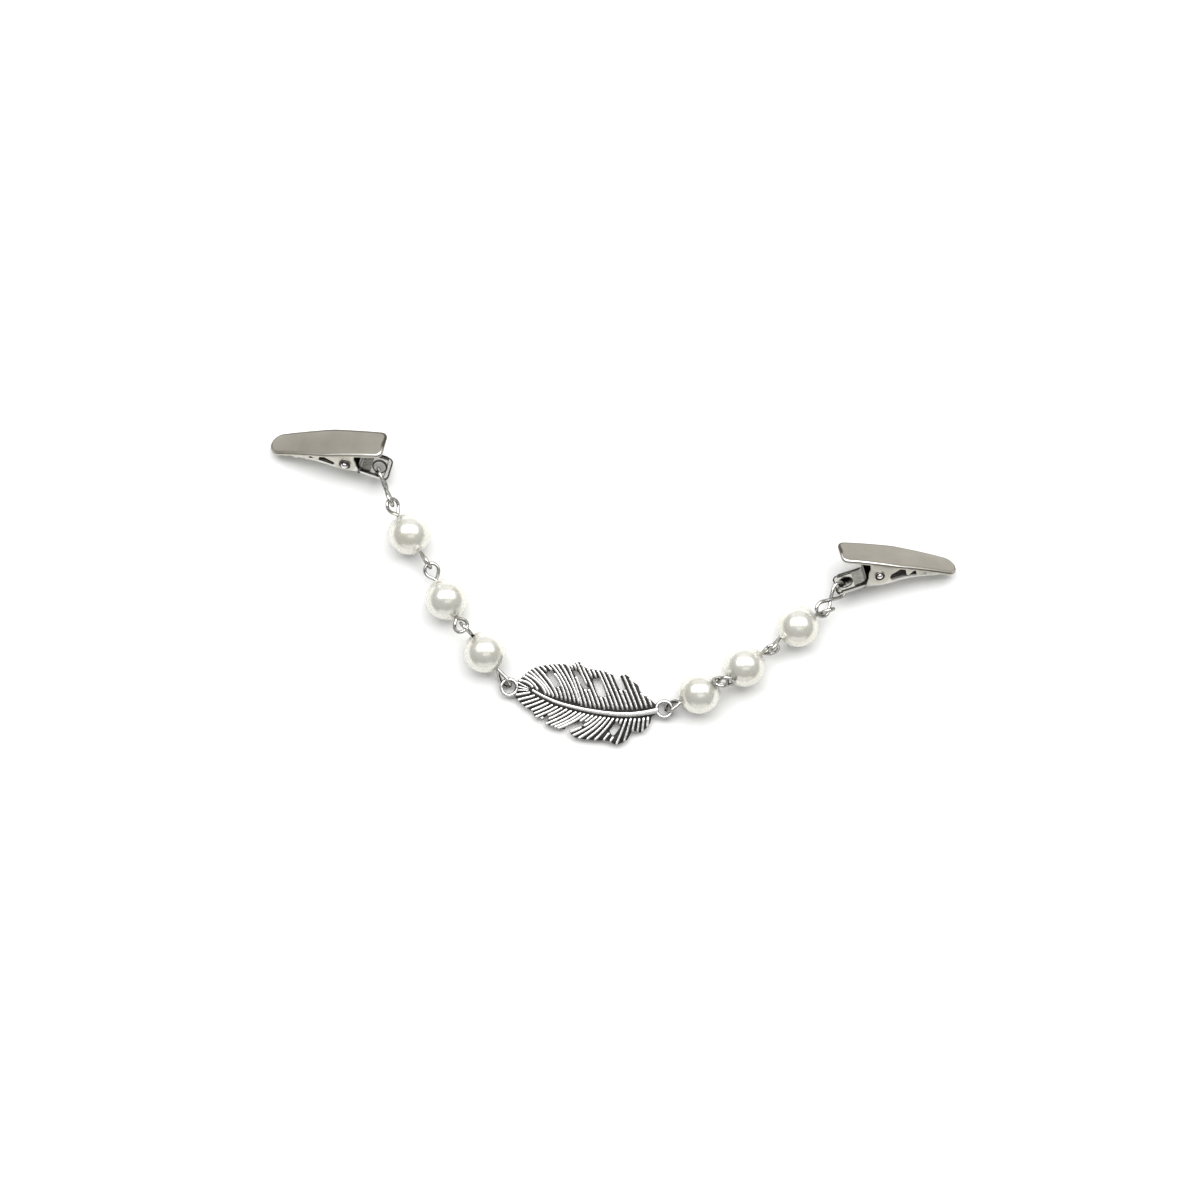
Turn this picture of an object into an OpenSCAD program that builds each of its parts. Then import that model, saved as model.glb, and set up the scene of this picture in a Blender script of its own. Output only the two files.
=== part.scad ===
// Sweater clip: two spring clips joined by six drilled pearls and a pierced feather charm.
// Lengths are millimetres and angles are degrees. It lies on a table top at z = 0, and z points up.
// Each clip is drawn about its rivet, with x to the nose and z out of the cover, then turned into place.

/* [Clip cover] */
// Length of the cover from its rear edge to its nose
cover_l = 23.8; // [23:0.1:25]
// Width of the cover over its ears
cover_w = 6.2; // [5.8:0.1:7]
// Radius of the rounded nose
nose_r = 2.3; // [2:0.1:2.6]
// Height of the cover's crown over the rivet
crown_h = 3.0; // [2.9:0.05:3.4]
// Depth of the lip folded down round the cover
lip = 0.75; // [0.65:0.05:0.85]
// Thickness of the pressed sheet
sheet = 0.4; // [0.3:0.05:0.45]
// Distance from tooth to tooth along the side
tooth_pitch = 2.2; // [1.9:0.1:2.4]

/* [Jaw and tail] */
// Length of the tail that the thumb presses
tail_l = 5.8; // [5:0.1:6.5]
// Slope of the tail below the cover's plane
tail_slope = 34; // [30:1:40]
// Hole in the tail for the chain's link
tail_hole_d = 2.4; // [2.2:0.1:2.8]

/* [Rivet and spring] */
// Diameter of the rivet's pin
rivet_d = 1.1; // [0.8:0.1:1.4]
// Diameter of the rivet's domed head
rivet_head_d = 2.3; // [2:0.1:2.8]
// Thickness of the leaf spring
spring_t = 0.3; // [0.2:0.05:0.4]

/* [Pearls and wire] */
// Diameter of a pearl
pearl_d = 8; // [7.5:0.1:8.5]
// Diameter of the hole drilled through a pearl
bore_d = 1.0; // [0.9:0.1:1.4]
// Wire of the eye pins
pin_wire = 0.65; // [0.5:0.05:0.7]
// Mean radius of an eye bent from the pin wire
eye_r = 1.35; // [1.3:0.01:1.4]
// Wire of the two figure-eight links
link_wire = 0.7; // [0.6:0.05:0.75]
// Mean radius of a link's loops
link_r = 1.45; // [1.4:0.01:1.5]
// Length of a link over its two loops
link_l = 8.75; // [8.7:0.05:8.8]

/* [Feather charm] */
// Distance between the centres of the charm's two rings
charm_span = 29.75; // [29.5:0.05:30]
// Thickness of the cast plate
charm_t = 0.8; // [0.6:0.05:1]
// Height of the raised barbs over the plate
relief = 0.4; // [0.2:0.05:0.6]
// Outer diameter of the charm's rings
ring_od = 3.7; // [3.5:0.05:4]
// Hole in the charm's rings
ring_id = 2.3; // [2.25:0.05:2.5]
// Distance from barb to barb along the quill
barb_pitch = 0.75; // [0.65:0.05:1.2]

/* [Hidden] */
gap = 0.05;
side_gap = 0.15;
round_fn = 48;
crown_fn = 720;

// Clip: places along x, and the cover's arched crown.
pivot_back = 8.2;
nose_x = cover_l - pivot_back;
wide_x = 3;
rear_w = cover_w - 0.6;
rear_corner_r = 1.2;
crown_x = 3.8;
crown_r = 110;
tooth_count = 5;
tooth_start = 1.4;
ear_r = 2.1;
jaw_inset = sheet + side_gap;
lobe_r = 1.7;
tail_w = cover_w - 1.2;
tail_corner_r = 1;
tail_rim = 0.6;
tail_hole_u = 3.6;
tail_x = -1.3;
tail_z = -3.4;
spring_w = cover_w - 2.6;
rivet_head_h = 0.75;
peen_d = 1.9;
peen_h = 0.4;

// Chain: where an eye's wires part after the pearl, and the neck from the pearl to the eye's centre.
stub = 0.25;
collar_back = 0.12;
collar_front = 0.2;
neck = 2.3;
long_neck = 3.2;
knuckle = 1.12;
slim = 0.96;
tuck = 0.1;
pearl_r = pearl_d / 2;

// Charm: where it lies. The eyes' wires pass under its rings and lift it off the table.
charm_at = [-19.85, -18.9, 0.8];
charm_turn = -8;
barb_w = 0.36;
quill_rise = 0.2;
barb_root = charm_span / 10;
ring_t = charm_t + relief;

// Yaw, pitch and roll of each clip, and heading, rise and roll of each link.
left_pose = [179, 22.3, 33];
right_pose = [-7.5, 18.2, -50.5];
left_link_turn = [111, -22, 85];
right_link_turn = [48, -18, 26];
// Distances from the last eye to the link's middle, and on to the hole in the tail.
left_eye_to_link = 3.851;
left_link_to_hole = 4.313;
right_eye_to_link = 2.317;
right_link_to_hole = 4.396;

// Pearls from the charm out to each clip. Step: heading, and length in necks, of the gap to this pearl.
// Bore: heading and rise of its hole. Inner and outer eye: heading, rise, roll and neck.
STEP = 0;
BORE = 1;
INNER = 2;
OUTER = 3;
left_pearls = [
    [[122.5, 1.913], [126, 19], [-59, -22, 58, long_neck], [132, 32, 96, neck]],
    [[132.5, 2.087], [118, -15], [-58, 32, 4, neck], [116, 4, 1, neck]],
    [[119.5, 2.783], [121, 8], [-58, 0, 81, neck], [119, 18, 36, neck]]
];
right_pearls = [
    [[23, 1.565], [28, 22], [-157, -25, 61, neck], [16, 33, 50, neck]],
    [[29, 1.043], [35, -15], [-151, 46, 38, neck], [23, 7, 54, neck]],
    [[41.5, 2.109], [32, -3], [-126, 1, 84, neck], [19, 15, 85, neck]]
];

// Feather seen from above, in hundredths of charm_span: x runs from the left ring to the right one.
tip_points = [[5, -2.7], [4, 2]];
upper_vane = [
    [5.7, 5.4], [8.4, 8.7], [11.4, 12.4], [15.1, 15.1], [22.9, 17.8], [31.9, 19.5], [36.6, 19.2],
    [41.7, 22.2], [45, 20.2], [47.7, 18.8], [53.8, 18.8], [58.8, 18.5], [64.5, 17.1], [68.6, 16.8],
    [71.6, 18.5], [75, 17.1], [78, 14.5], [81.3, 12.8], [83, 9.4], [85.4, 6.7], [88.1, 6.4],
    [92.4, 3.4], [94.8, 1.3]
];
lower_vane = [
    [95.5, -3.4], [92.8, -6.1], [92.1, -10.8], [87.4, -16.8], [82.4, -16.5], [80.7, -19.5],
    [79, -23.2], [75.6, -25.5], [72.3, -26.9], [67.2, -25.2], [60.2, -25.9], [52.4, -26.2],
    [46.1, -25.9], [43.7, -24.5], [40.3, -21.5], [35.3, -22.2], [30.6, -20.8], [25.5, -19.8],
    [21.8, -16.5], [18.8, -16.5], [16.5, -12.8], [12.4, -11.4], [8.4, -8.7], [4.7, -5.7]
];
quill = [
    [14.8, 0.3], [22.5, -2.7], [32.3, -5.4], [45.7, -7.1], [59.8, -7.7], [73.3, -7.1], [84.7, -5],
    [96.1, -1.3]
];
// Openings between barbs: middle, heading, length and width.
slots = [
    [[27.2, 9.1], 128, 11.8, 4.4],
    [[44.7, 10.8], 130, 15.5, 2.7],
    [[57.1, 7.7], 118, 13.4, 5],
    [[69.2, 13.1], 122, 12.1, 3.7],
    [[70.6, -16.8], 62, 8.7, 4],
    [[45, -18.8], 28, 14.1, 3.4],
    [[24.9, -18.5], 52, 8.1, 3]
];

// Height of the cover's arched top at x, and the half-width of its plan there.
function crown(x) = crown_h - pow(x - crown_x, 2) / (2 * crown_r);
function tail_point(u, w) = [
    tail_x - u * cos(tail_slope) - w * sin(tail_slope),
    tail_z - u * sin(tail_slope) + w * cos(tail_slope)
];

// Plan of the cover, drawn smaller all round by inset.
module plan(inset) {
    half = cover_w / 2 - inset;
    rear = rear_w / 2 - inset;
    nose = nose_r - inset;
    corner = rear_corner_r - inset / 2;
    centre_x = nose_x - nose_r;
    taper = atan((half - nose) / (centre_x - wide_x));
    back_x = inset - pivot_back;
    translate([centre_x, 0]) circle(nose, $fn = round_fn);
    for (s = [-1, 1])
        translate([back_x + corner, s * (rear - corner)]) circle(corner, $fn = round_fn);
    polygon([
        [centre_x + (nose - 0.005) * sin(taper), (nose - 0.005) * cos(taper)],
        [wide_x, half],
        [back_x + corner, rear - 0.002],
        [back_x + 0.002, rear - corner],
        [back_x + 0.002, corner - rear],
        [back_x + corner, 0.002 - rear],
        [wide_x, -half],
        [centre_x + (nose - 0.005) * sin(taper), -(nose - 0.005) * cos(taper)]
    ]);
}

// A side view in x and z, extruded across the clip.
module across(width) {
    rotate([90, 0, 0]) linear_extrude(width, center = true) children();
}

module crowned(inset) {
    intersection() {
        translate([0, 0, -6]) linear_extrude(12) plan(inset);
        translate([crown_x, 0, crown_h - crown_r]) rotate([90, 0, 0])
            cylinder(h = 12, r = crown_r - inset, center = true, $fn = crown_fn);
    }
}

// Side of the cover: lip, then teeth that grow toward the rivet and end over the jaw, then the ear.
function tooth_x(i) = nose_x - tooth_start - i * tooth_pitch;
function lip_edge(x) = crown(x) - lip;
function tooth_tip(i) = max(lip_edge(tooth_x(i)) - 1.2, min(lip_edge(tooth_x(i)) - 0.1, jaw_z(tooth_x(i)) + 0.45));
module cover_side() {
    polygon(concat(
        [[nose_x + 1, crown_h + 1], [nose_x + 1, lip_edge(nose_x)]],
        [for (i = [0 : tooth_count - 1], k = [0 : 3])
            k == 0 ? [tooth_x(i) + 0.9, lip_edge(tooth_x(i))]
            : k == 1 ? [tooth_x(i) + 0.2, tooth_tip(i)]
            : k == 2 ? [tooth_x(i) - 0.2, tooth_tip(i)]
            : [tooth_x(i) - 0.9, lip_edge(tooth_x(i))]],
        [[3.4, lip_edge(3.4)], [2.7, 1.4], [2, 0.6], [0, -1], [-2, 0.6], [-2.6, lip_edge(-2.6)],
         [-pivot_back - 1, lip_edge(-pivot_back)], [-pivot_back - 1, crown_h + 1]]));
}

module cover() {
    difference() {
        intersection() {
            difference() {
                crowned(0);
                crowned(sheet);
            }
            union() {
                across(12) cover_side();
                rotate([90, 0, 0]) cylinder(h = 12, r = ear_r, center = true, $fn = round_fn);
            }
        }
        rotate([90, 0, 0]) cylinder(h = 14, d = rivet_d + 2 * gap, center = true, $fn = round_fn);
    }
}

// Underside of the jaw's floor, from the nose back to the corner where the tail starts.
nest = sheet + 2 * gap;
jaw_floor = [
    [nose_x + 1, crown(nose_x) - sheet - nest],
    [nose_x - 2.45, crown(nose_x - 2.45) - sheet - nest],
    [11, 1.1], [8.3, 0.5], [6.5, 0], [4.6, -0.8], [3.2, -1.6], [1.5, -2.5], [0, -3], [tail_x, tail_z]
];
function jaw_z(x) = lookup(x, jaw_floor);
// Side of the jaw: a low flange by the rivet's lobe, with teeth that stand between the cover's teeth.
module jaw_side() {
    polygon(concat(jaw_floor, [
        tail_point(0, sheet), [-1.6, -0.5], [0, 1], [1.6, 0], [3, jaw_z(3) + 0.75], [4.6, jaw_z(4.6) + 0.7],
        [6.5, jaw_z(6.5) + 0.75], [tooth_x(3), jaw_z(tooth_x(3)) + 0.6],
        [tooth_x(2.5), lip_edge(tooth_x(2.5)) - 0.35], [tooth_x(2), jaw_z(tooth_x(2)) + 0.6],
        [tooth_x(1.5), lip_edge(tooth_x(1.5)) - 0.35], [tooth_x(1), jaw_z(tooth_x(1)) + 0.6],
        [nose_x - 2.45, crown(nose_x - 2.45) - nest], [nose_x + 1, crown(nose_x) - nest]
    ]));
}
module jaw_pocket() {
    polygon(concat([for (p = jaw_floor) p + [0, sheet * 1.12]], [[tail_x - 3, tail_z + sheet], [tail_x - 3, 5], [nose_x + 1, 5]]));
}
module tail() {
    translate([tail_x, 0, tail_z]) rotate([0, -tail_slope, 0]) rotate([0, 0, 180]) {
        difference() {
            union() {
                linear_extrude(sheet) tail_plan(tail_l);
                for (s = [-1, 1])
                    translate([0.2, s * (tail_w - sheet) / 2 - sheet / 2, 0])
                        cube([tail_l - tail_corner_r - 0.4, sheet, tail_rim]);
            }
            translate([tail_hole_u, 0, -1]) cylinder(h = 3, d = tail_hole_d, $fn = round_fn);
        }
    }
}
module tail_plan(length) {
    translate([-0.3, -tail_w / 2]) square([length - tail_corner_r + 0.3, tail_w]);
    translate([0, tail_corner_r - tail_w / 2]) square([length, tail_w - 2 * tail_corner_r]);
    for (s = [-1, 1])
        translate([length - tail_corner_r, s * (tail_w / 2 - tail_corner_r)])
            circle(tail_corner_r, $fn = round_fn);
}
module jaw() {
    difference() {
        union() {
            difference() {
                intersection() {
                    translate([0, 0, -6]) linear_extrude(12) plan(jaw_inset);
                    union() {
                        across(12) jaw_side();
                        rotate([90, 0, 0]) cylinder(h = 12, r = lobe_r, center = true, $fn = round_fn);
                    }
                }
                intersection() {
                    translate([0, 0, -6]) linear_extrude(12) plan(jaw_inset + sheet);
                    across(12) jaw_pocket();
                }
            }
            tail();
        }
        rotate([90, 0, 0]) cylinder(h = 14, d = rivet_d + 2 * gap, center = true, $fn = round_fn);
    }
}

// Rivet: pin, domed head on the left side of the clip and a small peened end on the right.
module rivet() {
    seat = cover_w / 2 + gap;
    pin_r = rivet_d / 2;
    head_r = rivet_head_d / 2;
    peen_r = max(peen_d / 2, pin_r + 0.25);
    rotate([-90, 0, 0]) rotate_extrude($fn = round_fn)
        polygon(concat(
            [[0, -seat - peen_h], [peen_r * 0.8, -seat - peen_h], [peen_r, -seat - peen_h / 2], [peen_r, -seat],
             [pin_r, -seat], [pin_r, seat]],
            [for (a = [0 : 15 : 75]) [head_r * cos(a), seat + rivet_head_h * sin(a)]],
            [[0, seat + rivet_head_h]]));
}

// Leaf spring: a foot under the cover, a bend by the tail's root and a leg along the tail.
function under_cover(x) = [x, crown(x) - sheet - gap - spring_t / 2];
spring_path = [
    under_cover(-6.2), under_cover(-4.4), [-2.1, -1.5], [-1.75, -2.3],
    tail_point(0.35, sheet + gap + spring_t / 2), tail_point(2.1, sheet + gap + spring_t / 2)
];
function unit(v) = v / norm(v);
function side_of(v) = [-v[1], v[0]];
// Mitred sideways shift of point i of a path.
function shifted(p, i, d) =
    let (a = side_of(unit(p[min(i + 1, len(p) - 1)] - p[max(i, 0) == len(p) - 1 ? i - 1 : i])),
         b = side_of(unit(p[max(i, 1)] - p[max(i, 1) - 1])),
         m = unit(a + b))
    p[i] + m * d / (m * a);
module spring() {
    last = len(spring_path) - 1;
    across(spring_w) polygon(concat(
        [for (i = [0 : last]) shifted(spring_path, i, spring_t / 2)],
        [for (i = [0 : last]) shifted(spring_path, last - i, -spring_t / 2)]));
}

// Puts a clip's piece where the clip lies: the hole of its tail goes to the place.
module at_clip(pose, place) {
    hole = tail_point(tail_hole_u, sheet / 2);
    translate(place) rotate([0, 0, pose[0]]) rotate([0, pose[1], 0]) rotate([pose[2], 0, 0])
        translate([-hole[0], 0, -hole[1]]) children();
}

// Turns the x axis to a heading and a rise, rolled about itself.
module turned(heading, rise, roll) {
    rotate([0, 0, heading]) rotate([0, -rise, 0]) rotate([roll, 0, 0]) children();
}
function heading_vector(heading, rise) = [
    cos(heading) * cos(rise), sin(heading) * cos(rise), sin(rise)
];

// Wire bent to a drop: straights from the origin and a round end of radius r about x = reach.
// A straight is a hair thinner than the round end, and its tip is tucked into it.
module straight(reach, r, wire, centred) {
    length = sqrt(reach * reach - r * r) + tuck;
    rotate([0, 90, 0])
        cylinder(h = centred ? 2 * length : length, d = wire * slim, center = centred, $fn = round_fn);
}
module round_end(reach, r, wire) {
    half = asin(r / reach);
    translate([reach, 0, 0]) rotate([0, 0, -90 - half])
        rotate_extrude(angle = 180 + 2 * half, $fn = round_fn) translate([r, 0]) circle(d = wire, $fn = round_fn);
}
module drop(reach, r, wire) {
    for (s = [-1, 1])
        rotate([0, 0, s * asin(r / reach)]) straight(reach, r, wire, false);
    round_end(reach, r, wire);
}
module link() {
    reach = link_l / 2 - link_r - link_wire / 2;
    sphere(d = link_wire * knuckle, $fn = round_fn);
    for (s = [-1, 1])
        rotate([0, 0, s * asin(link_r / reach)]) straight(reach, link_r, link_wire, true);
    for (t = [0, 180])
        rotate([0, 0, t]) round_end(reach, link_r, link_wire);
}
module at_link(turn, place) {
    translate(place) turned(turn[0], turn[1], turn[2]) children();
}

// Middle of pearl i, walked from the charm's ring over the gaps and through the pearls.
function flat(v) = [v[0], v[1]];
function bore_vector(row) = heading_vector(row[BORE][0], row[BORE][1]);
function step_vector(row) = row[STEP][1] * neck * flat(heading_vector(row[STEP][0], 0));
function pearl_at(start, rows, i) =
    (i == 0 ? start : pearl_at(start, rows, i - 1) + pearl_r * flat(bore_vector(rows[i - 1])))
    + step_vector(rows[i]) + pearl_r * flat(bore_vector(rows[i]));
function pearl_centre(start, rows, i) = concat(pearl_at(start, rows, i), [pearl_r]);
left_ring = flat(charm_at);
right_ring = left_ring + charm_span * [cos(charm_turn), sin(charm_turn)];

// Middle of the eye that the link hangs in, then the middles of the links and of the tails' holes.
function last_eye(start, rows) =
    pearl_centre(start, rows, 2) + pearl_r * bore_vector(rows[2])
    + rows[2][OUTER][3] * heading_vector(rows[2][OUTER][0], rows[2][OUTER][1]);
left_link_at = last_eye(left_ring, left_pearls) + left_eye_to_link * heading_vector(111.289, -9.981);
right_link_at = last_eye(right_ring, right_pearls) + right_eye_to_link * heading_vector(71.307, 5.302);
left_hole_at = left_link_at + left_link_to_hole * heading_vector(107.312, -20.777);
right_hole_at = right_link_at + right_link_to_hole * heading_vector(47.862, -14.896);

module pearl(start, rows, i) {
    translate(pearl_centre(start, rows, i)) turned(rows[i][BORE][0], rows[i][BORE][1], 0)
        rotate([0, 90, 0]) rotate_extrude($fn = round_fn) intersection() {
            circle(d = pearl_d, $fn = round_fn);
            translate([bore_d / 2, -pearl_d]) square([pearl_d, 2 * pearl_d]);
        }
}

// One wire through the pearl, with an eye bent at each end. A collar covers the bend at the pearl.
module eye(aim) {
    turned(aim[0], aim[1], aim[2]) {
        translate([-collar_back, 0, 0]) rotate([0, 90, 0])
            cylinder(h = collar_back + stub + collar_front, d = pin_wire * knuckle, $fn = round_fn);
        translate([stub, 0, 0]) drop(aim[3] - stub, eye_r, pin_wire);
    }
}
module eye_pin(start, rows, i) {
    through = pearl_r * bore_vector(rows[i]);
    translate(pearl_centre(start, rows, i)) {
        turned(rows[i][BORE][0], rows[i][BORE][1], 0) rotate([0, 90, 0])
            cylinder(h = pearl_d, d = pin_wire, center = true, $fn = round_fn);
        translate(-through) eye(rows[i][INNER]);
        translate(through) eye(rows[i][OUTER]);
    }
}

// Feather charm: a pierced plate, raised barbs and quill, and a ring at each end.
hundredth = charm_span / 100;
module feather_outline() {
    polygon(hundredth * concat(tip_points, upper_vane, lower_vane));
}
module slot_shapes(grow) {
    for (s = slots)
        translate(hundredth * s[0]) rotate(s[1])
            square([hundredth * s[2] + 2 * grow, hundredth * s[3] + 2 * grow], center = true);
}
function upper_aim(h) = h < 27 ? 155 - 3.27 * (h - 15) : 115;
function lower_aim(h) = h < 27 ? 200 + 1.8 * (h - 15) : h < 60.5 ? 222 + 0.6 * (h - 27) : 242 + 0.9 * (h - 60.5);
// A barb leaves the quill at h, then bends toward the feather's tip.
module barb(h, aim, bend) {
    translate(hundredth * [h, lookup(h, quill)]) rotate(aim) {
        translate([0, -barb_w / 2]) square([barb_root, barb_w]);
        translate([barb_root, 0]) rotate(bend) translate([-0.1, -barb_w / 2]) square([2.4 * barb_root, barb_w]);
    }
}
module barbs() {
    for (h = [15.5 : barb_pitch / hundredth : 94]) {
        barb(h, upper_aim(h), 20 - 0.18 * h);
        barb(h, lower_aim(h), 0.06 * h - 12);
    }
    for (a = [165, 180, 195])
        barb(15.5, a, 0);
}
function quill_half(i) = 0.15 + 0.04 * i;
module quill_shape() {
    last = len(quill) - 1;
    line = hundredth * quill;
    polygon(concat(
        [for (i = [0 : last]) shifted(line, i, quill_half(i))],
        [for (i = [0 : last]) shifted(line, last - i, -quill_half(last - i))]));
}
module ring_shape(x) {
    translate([x, 0]) circle(d = ring_od, $fn = round_fn);
}
module feather_charm() {
    color("silver") translate(charm_at) rotate([0, 0, charm_turn]) difference() {
        union() {
            linear_extrude(charm_t) difference() {
                feather_outline();
                slot_shapes(0);
            }
            translate([0, 0, charm_t - gap]) linear_extrude(relief + gap) offset(delta = 0.02) difference() {
                intersection() {
                    offset(delta = -0.1) feather_outline();
                    barbs();
                }
                slot_shapes(0.1);
            }
            translate([0, 0, charm_t - gap]) linear_extrude(relief + quill_rise + gap) quill_shape();
            for (x = [0, charm_span])
                linear_extrude(ring_t) ring_shape(x);
        }
        for (x = [0, charm_span])
            translate([x, 0, -1]) cylinder(h = ring_t + quill_rise + 2, d = ring_id, $fn = round_fn);
    }
}

module pearl_1() { color("ivory") pearl(left_ring, left_pearls, 2); }
module pearl_2() { color("ivory") pearl(left_ring, left_pearls, 1); }
module pearl_3() { color("ivory") pearl(left_ring, left_pearls, 0); }
module pearl_4() { color("ivory") pearl(right_ring, right_pearls, 0); }
module pearl_5() { color("ivory") pearl(right_ring, right_pearls, 1); }
module pearl_6() { color("ivory") pearl(right_ring, right_pearls, 2); }
module eye_pin_1() { color("silver") eye_pin(left_ring, left_pearls, 2); }
module eye_pin_2() { color("silver") eye_pin(left_ring, left_pearls, 1); }
module eye_pin_3() { color("silver") eye_pin(left_ring, left_pearls, 0); }
module eye_pin_4() { color("silver") eye_pin(right_ring, right_pearls, 0); }
module eye_pin_5() { color("silver") eye_pin(right_ring, right_pearls, 1); }
module eye_pin_6() { color("silver") eye_pin(right_ring, right_pearls, 2); }
module left_link() { color("silver") at_link(left_link_turn, left_link_at) link(); }
module right_link() { color("silver") at_link(right_link_turn, right_link_at) link(); }
module left_cover() { color("darkgray") at_clip(left_pose, left_hole_at) cover(); }
module left_jaw() { color("silver") at_clip(left_pose, left_hole_at) jaw(); }
module left_rivet() { color("silver") at_clip(left_pose, left_hole_at) rivet(); }
module left_spring() { color("gray") at_clip(left_pose, left_hole_at) spring(); }
module right_cover() { color("darkgray") at_clip(right_pose, right_hole_at) cover(); }
module right_jaw() { color("silver") at_clip(right_pose, right_hole_at) jaw(); }
module right_rivet() { color("silver") at_clip(right_pose, right_hole_at) rivet(); }
module right_spring() { color("gray") at_clip(right_pose, right_hole_at) spring(); }

feather_charm();
pearl_1();
pearl_2();
pearl_3();
pearl_4();
pearl_5();
pearl_6();
eye_pin_1();
eye_pin_2();
eye_pin_3();
eye_pin_4();
eye_pin_5();
eye_pin_6();
left_link();
right_link();
left_cover();
left_jaw();
left_rivet();
left_spring();
right_cover();
right_jaw();
right_rivet();
right_spring();
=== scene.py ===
import math
import random

import bmesh
import bpy
import numpy as np
from mathutils import Matrix, Vector


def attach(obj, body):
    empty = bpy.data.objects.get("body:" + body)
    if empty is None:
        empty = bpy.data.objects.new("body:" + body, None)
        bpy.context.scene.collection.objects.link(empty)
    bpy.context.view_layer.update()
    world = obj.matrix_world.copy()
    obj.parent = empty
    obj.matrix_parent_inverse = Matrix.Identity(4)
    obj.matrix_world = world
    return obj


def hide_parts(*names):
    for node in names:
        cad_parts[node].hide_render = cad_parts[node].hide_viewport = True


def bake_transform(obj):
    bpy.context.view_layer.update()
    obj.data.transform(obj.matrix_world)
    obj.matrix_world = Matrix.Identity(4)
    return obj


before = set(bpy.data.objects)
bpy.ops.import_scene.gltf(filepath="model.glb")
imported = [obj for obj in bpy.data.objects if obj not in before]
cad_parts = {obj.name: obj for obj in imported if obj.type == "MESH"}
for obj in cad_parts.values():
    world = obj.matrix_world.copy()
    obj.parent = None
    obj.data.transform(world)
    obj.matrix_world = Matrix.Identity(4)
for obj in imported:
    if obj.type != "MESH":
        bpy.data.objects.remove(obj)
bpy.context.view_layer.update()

# Camera: the jewel is seen from straight above, as it lies. The picture is 228.6 mm wide.
# All sizes below are millimetres, and MM turns them into metres.
MM = 0.001
LENS = 120
SENSOR = 36
PICTURE_W = 228.6
PICTURE_MIDDLE = (-2.6, -2.3)


def linked(name, data):
    """A new object that shows data, linked into the scene."""
    thing = bpy.data.objects.new(name, data)
    bpy.context.collection.objects.link(thing)
    return thing


camera_data = bpy.data.cameras.new("camera")
camera_data.lens = LENS
camera_data.sensor_width = SENSOR
camera = linked("camera", camera_data)
camera.location = (
    PICTURE_MIDDLE[0] * MM, PICTURE_MIDDLE[1] * MM, PICTURE_W * MM * LENS / SENSOR)
bpy.context.scene.camera = camera
bpy.context.scene.view_settings.view_transform = "Standard"


# Table and studio light: a plain pale table top under one wide soft box, with a strip and two
# walls that show as bright patches and bands in the pearls and the polished metal.
def new_material(name):
    """An empty node material with its shader and output."""
    material = bpy.data.materials.new(name)
    material.use_nodes = True
    tree = material.node_tree
    tree.nodes.clear()
    output = tree.nodes.new("ShaderNodeOutputMaterial")
    shader = tree.nodes.new("ShaderNodeBsdfPrincipled")
    tree.links.new(shader.outputs["BSDF"], output.inputs["Surface"])
    return material, tree, shader


def noise(tree, scale, detail=3.0, rough=0.55, stretch=(1, 1, 1)):
    """Noise on Object coordinates; scale is in lumps per metre."""
    place = tree.nodes.new("ShaderNodeTexCoord")
    mapping = tree.nodes.new("ShaderNodeMapping")
    mapping.inputs["Scale"].default_value = stretch
    texture = tree.nodes.new("ShaderNodeTexNoise")
    texture.inputs["Scale"].default_value = scale
    texture.inputs["Detail"].default_value = detail
    texture.inputs["Roughness"].default_value = rough
    tree.links.new(place.outputs["Object"], mapping.inputs["Vector"])
    tree.links.new(mapping.outputs["Vector"], texture.inputs["Vector"])
    return texture.outputs["Fac"]


def ramp(tree, value, stops):
    """A colour ramp over value; stops are (position, colour)."""
    node = tree.nodes.new("ShaderNodeValToRGB")
    band = node.color_ramp
    while len(band.elements) < len(stops):
        band.elements.new(1.0)
    for element, (position, colour) in zip(band.elements, stops):
        element.position = position
        element.color = (*colour, 1)
    tree.links.new(value, node.inputs["Fac"])
    return node.outputs["Color"]


def spread(tree, value, low, high):
    """value, from 0.3 to 0.7, spread over low to high."""
    node = tree.nodes.new("ShaderNodeMapRange")
    node.inputs["From Min"].default_value = 0.3
    node.inputs["From Max"].default_value = 0.7
    node.inputs["To Min"].default_value = low
    node.inputs["To Max"].default_value = high
    tree.links.new(value, node.inputs["Value"])
    return node.outputs["Result"]


def finish(tree, shader, metallic, colour, roughness, relief, depth, strength):
    """Links a finish's colour, roughness and fine relief, whose depth is in millimetres."""
    shader.inputs["Metallic"].default_value = metallic
    tree.links.new(colour, shader.inputs["Base Color"])
    if isinstance(roughness, float):
        shader.inputs["Roughness"].default_value = roughness
    else:
        tree.links.new(roughness, shader.inputs["Roughness"])
    bump = tree.nodes.new("ShaderNodeBump")
    bump.inputs["Strength"].default_value = strength
    bump.inputs["Distance"].default_value = depth * MM
    tree.links.new(relief, bump.inputs["Height"])
    tree.links.new(bump.outputs["Normal"], shader.inputs["Normal"])


# The table lies a hair below the jewel, so that the two never share a surface.
TABLE_HALF = 1.5
TABLE_DROP = 0.02
corners = ((-1, -1), (1, -1), (1, 1), (-1, 1))
table_mesh = bpy.data.meshes.new("table_top")
table_mesh.from_pydata(
    [(x * TABLE_HALF, y * TABLE_HALF, -TABLE_DROP * MM) for x, y in corners], [], [(0, 1, 2, 3)])
table = linked("table_top", table_mesh)
table_paint, tree, shader = new_material("pale_table")
shader.inputs["Base Color"].default_value = (0.93, 0.93, 0.925, 1)
shader.inputs["Roughness"].default_value = 0.9
table_mesh.materials.append(table_paint)

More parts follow.
